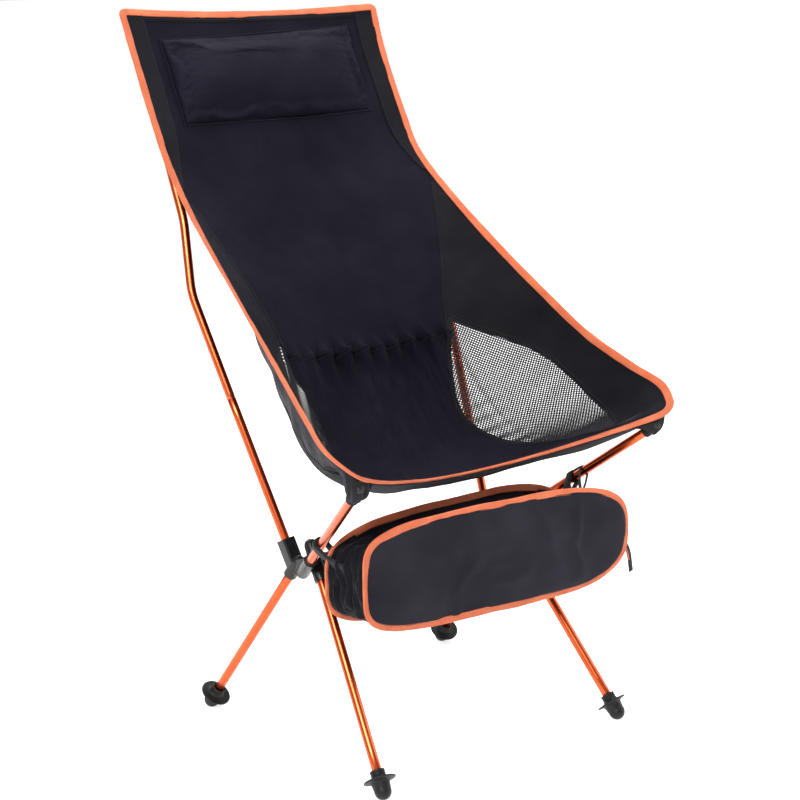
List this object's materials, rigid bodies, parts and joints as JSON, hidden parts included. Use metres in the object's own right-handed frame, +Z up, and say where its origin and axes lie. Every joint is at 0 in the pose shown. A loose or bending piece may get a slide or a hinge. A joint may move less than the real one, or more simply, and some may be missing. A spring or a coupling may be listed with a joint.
{
  "type": "camping chair",
  "caption": "High-back ultralight camping chair: shock-corded pole frame on two moulded hubs, a fabric and mesh sling with headrest pillow, and a storage bag under the front.",
  "frame": {"origin": "on the ground, under the middle of the chair's own bounding box", "axes": "+Z up, -Y the front that the sitter faces, +X the viewer's right when seen from the front"},
  "size_m": [0.5856, 0.6376, 0.9861],
  "materials": {
    "anodised_tube": "anodised orange, satin with a bright highlight",
    "ferrule_alloy": "bare drawn alloy",
    "hub_plastic": "moulded glass-filled nylon, semi-gloss black",
    "foot_rubber": "moulded rubber, matt black",
    "cap_plastic": "moulded nylon, matt black",
    "shock_cord": "woven elastic cord",
    "sling_cloth": "plain-woven polyester ripstop, near-black navy",
    "sling_mesh": "open knitted mesh, black",
    "binding_tape": "ribbed coral-orange binding tape",
    "pillow_cloth": "plain-woven polyester over soft filling",
    "bag_cloth": "light plain-woven nylon, dark grey",
    "strap_webbing": "woven nylon webbing, black"
  },
  "bodies": {
    "frame": {"cross_tube": "anodised_tube", "cross_shock_cord": "shock_cord", "hub_L": "hub_plastic", "seat_pole_L": "anodised_tube", "seat_pole_shock_cord_L": "shock_cord", "seat_pole_cap_L": "cap_plastic", "front_pocket_L": "sling_cloth", "back_pole_lower_L": "anodised_tube", "back_pole_ferrule_L": "ferrule_alloy", "back_pole_upper_L": "anodised_tube", "back_pole_shock_cord_L": "shock_cord", "back_pole_cap_L": "cap_plastic", "top_pocket_L": "sling_cloth", "side_panel_L": "sling_cloth", "mesh_panel_L": "sling_mesh", "hub_R": "hub_plastic", "seat_pole_R": "anodised_tube", "seat_pole_shock_cord_R": "shock_cord", "seat_pole_cap_R": "cap_plastic", "front_pocket_R": "sling_cloth", "back_pole_lower_R": "anodised_tube", "back_pole_ferrule_R": "ferrule_alloy", "back_pole_upper_R": "anodised_tube", "back_pole_shock_cord_R": "shock_cord", "back_pole_cap_R": "cap_plastic", "top_pocket_R": "sling_cloth", "side_panel_R": "sling_cloth", "mesh_panel_R": "sling_mesh", "back_panel": "sling_cloth", "seat_panel": "sling_cloth", "edge_binding": "binding_tape", "headrest_pillow": "pillow_cloth"},
    "front_leg_L": {"front_leg_L_tube": "anodised_tube", "front_leg_L_shock_cord": "shock_cord", "front_leg_L_foot": "foot_rubber"},
    "front_leg_R": {"front_leg_R_tube": "anodised_tube", "front_leg_R_shock_cord": "shock_cord", "front_leg_R_foot": "foot_rubber"},
    "rear_leg_L": {"rear_leg_L_tube": "anodised_tube", "rear_leg_L_shock_cord": "shock_cord", "rear_leg_L_foot": "foot_rubber"},
    "rear_leg_R": {"rear_leg_R_tube": "anodised_tube", "rear_leg_R_shock_cord": "shock_cord", "rear_leg_R_foot": "foot_rubber"},
    "storage_bag": {"bag_strap_L": "strap_webbing", "bag_strap_R": "strap_webbing", "bag_front_panel": "bag_cloth", "bag_front_piping": "binding_tape", "bag_rear_panel": "bag_cloth", "bag_rear_piping": "binding_tape", "bag_gusset": "bag_cloth", "bag_pull_tab": "strap_webbing"}
  },
  "joints": [
    {"name": "front_leg_L_slide", "type": "slide", "parent": "frame", "child": "front_leg_L", "axis": [-0.1317, -0.6246, -0.7698], "range_m": [0, 0.024], "stiffness_N_per_m": 150, "springref_m": -0.05},
    {"name": "front_leg_R_slide", "type": "slide", "parent": "frame", "child": "front_leg_R", "axis": [0.1317, -0.6246, -0.7698], "range_m": [0, 0.024], "stiffness_N_per_m": 150, "springref_m": -0.05},
    {"name": "rear_leg_L_slide", "type": "slide", "parent": "frame", "child": "rear_leg_L", "axis": [-0.1368, 0.5545, -0.8209], "range_m": [0, 0.015], "stiffness_N_per_m": 150, "springref_m": -0.05},
    {"name": "rear_leg_R_slide", "type": "slide", "parent": "frame", "child": "rear_leg_R", "axis": [0.1368, 0.5545, -0.8209], "range_m": [0, 0.015], "stiffness_N_per_m": 150, "springref_m": -0.05},
    {"name": "bag_swing", "type": "hinge", "parent": "frame", "child": "storage_bag", "pos_m": [0.008, -0.1699, 0.325], "axis": [-0.9901, 0.109, -0.088], "range_deg": [0, 15], "deforming": ["bag_strap_L", "bag_strap_R"]}
  ]
}
